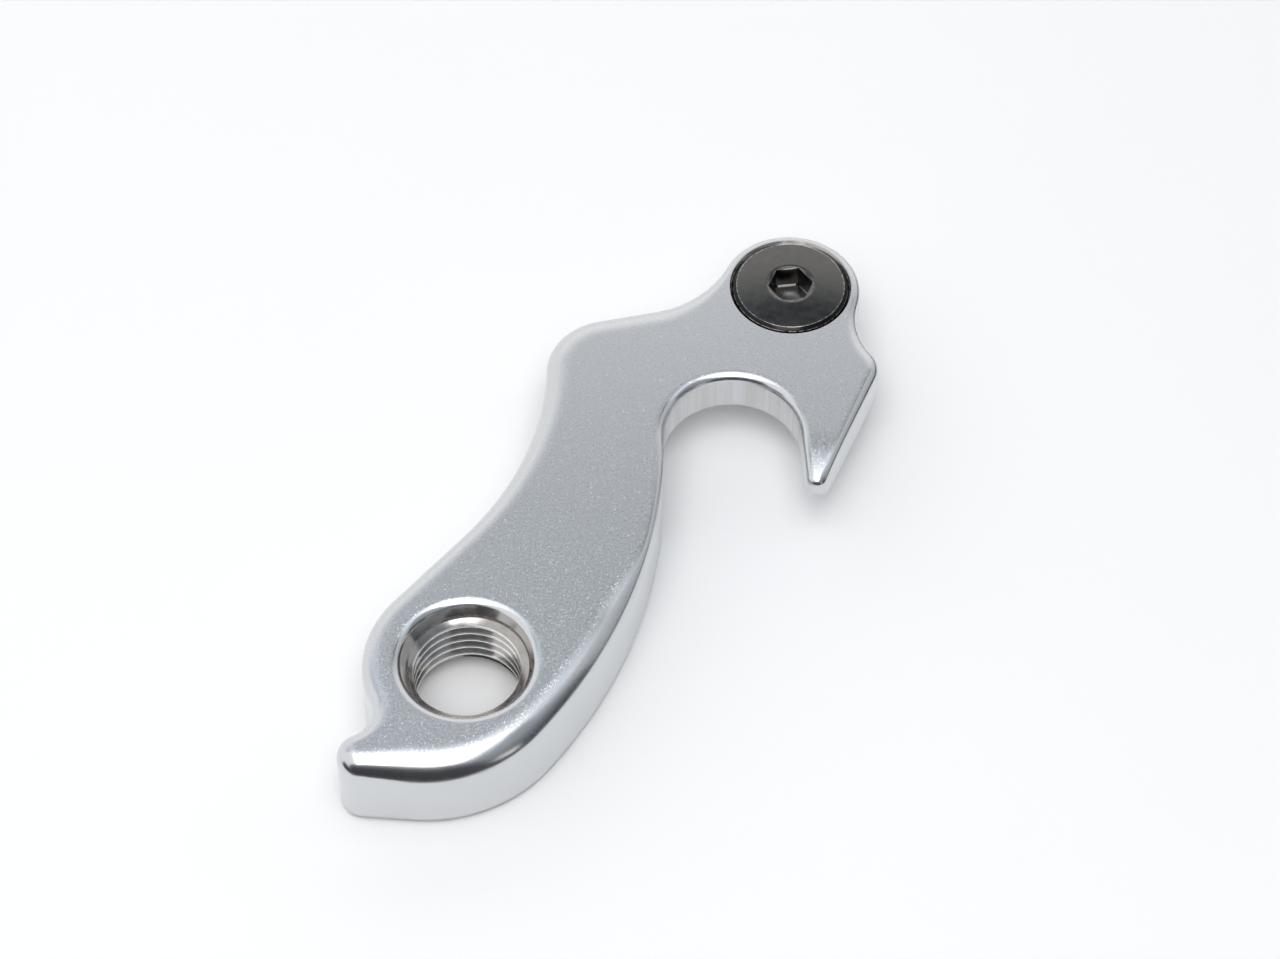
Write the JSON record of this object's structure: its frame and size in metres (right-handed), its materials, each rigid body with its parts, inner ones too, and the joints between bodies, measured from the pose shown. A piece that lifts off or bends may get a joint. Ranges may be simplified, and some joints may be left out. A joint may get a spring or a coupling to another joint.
{
  "type": "bicycle derailleur hanger",
  "caption": "Flat aluminium derailleur hanger: thick leg with a threaded hole and stop nub, thin arm with an open axle slot and hook, and a black countersunk screw in its round eye.",
  "frame": {"origin": "on the axis of the tapped hole, in the plane of the arm's back face, which is the face that seats on the dropout", "axes": "+Z along the tapped hole's axis, out of the face with the screw's head; +Y towards the eye, along the straight side of the axle slot; +X from the leg towards the hook"},
  "size_m": [0.0456, 0.0573, 0.0085],
  "materials": {
    "plate": "bead-blasted, with polished edges",
    "screw": "black oxide, satin, worn at its edges"
  },
  "bodies": {
    "root": {"hanger_plate": "plate", "mounting_screw": "screw"}
  },
  "joints": []
}
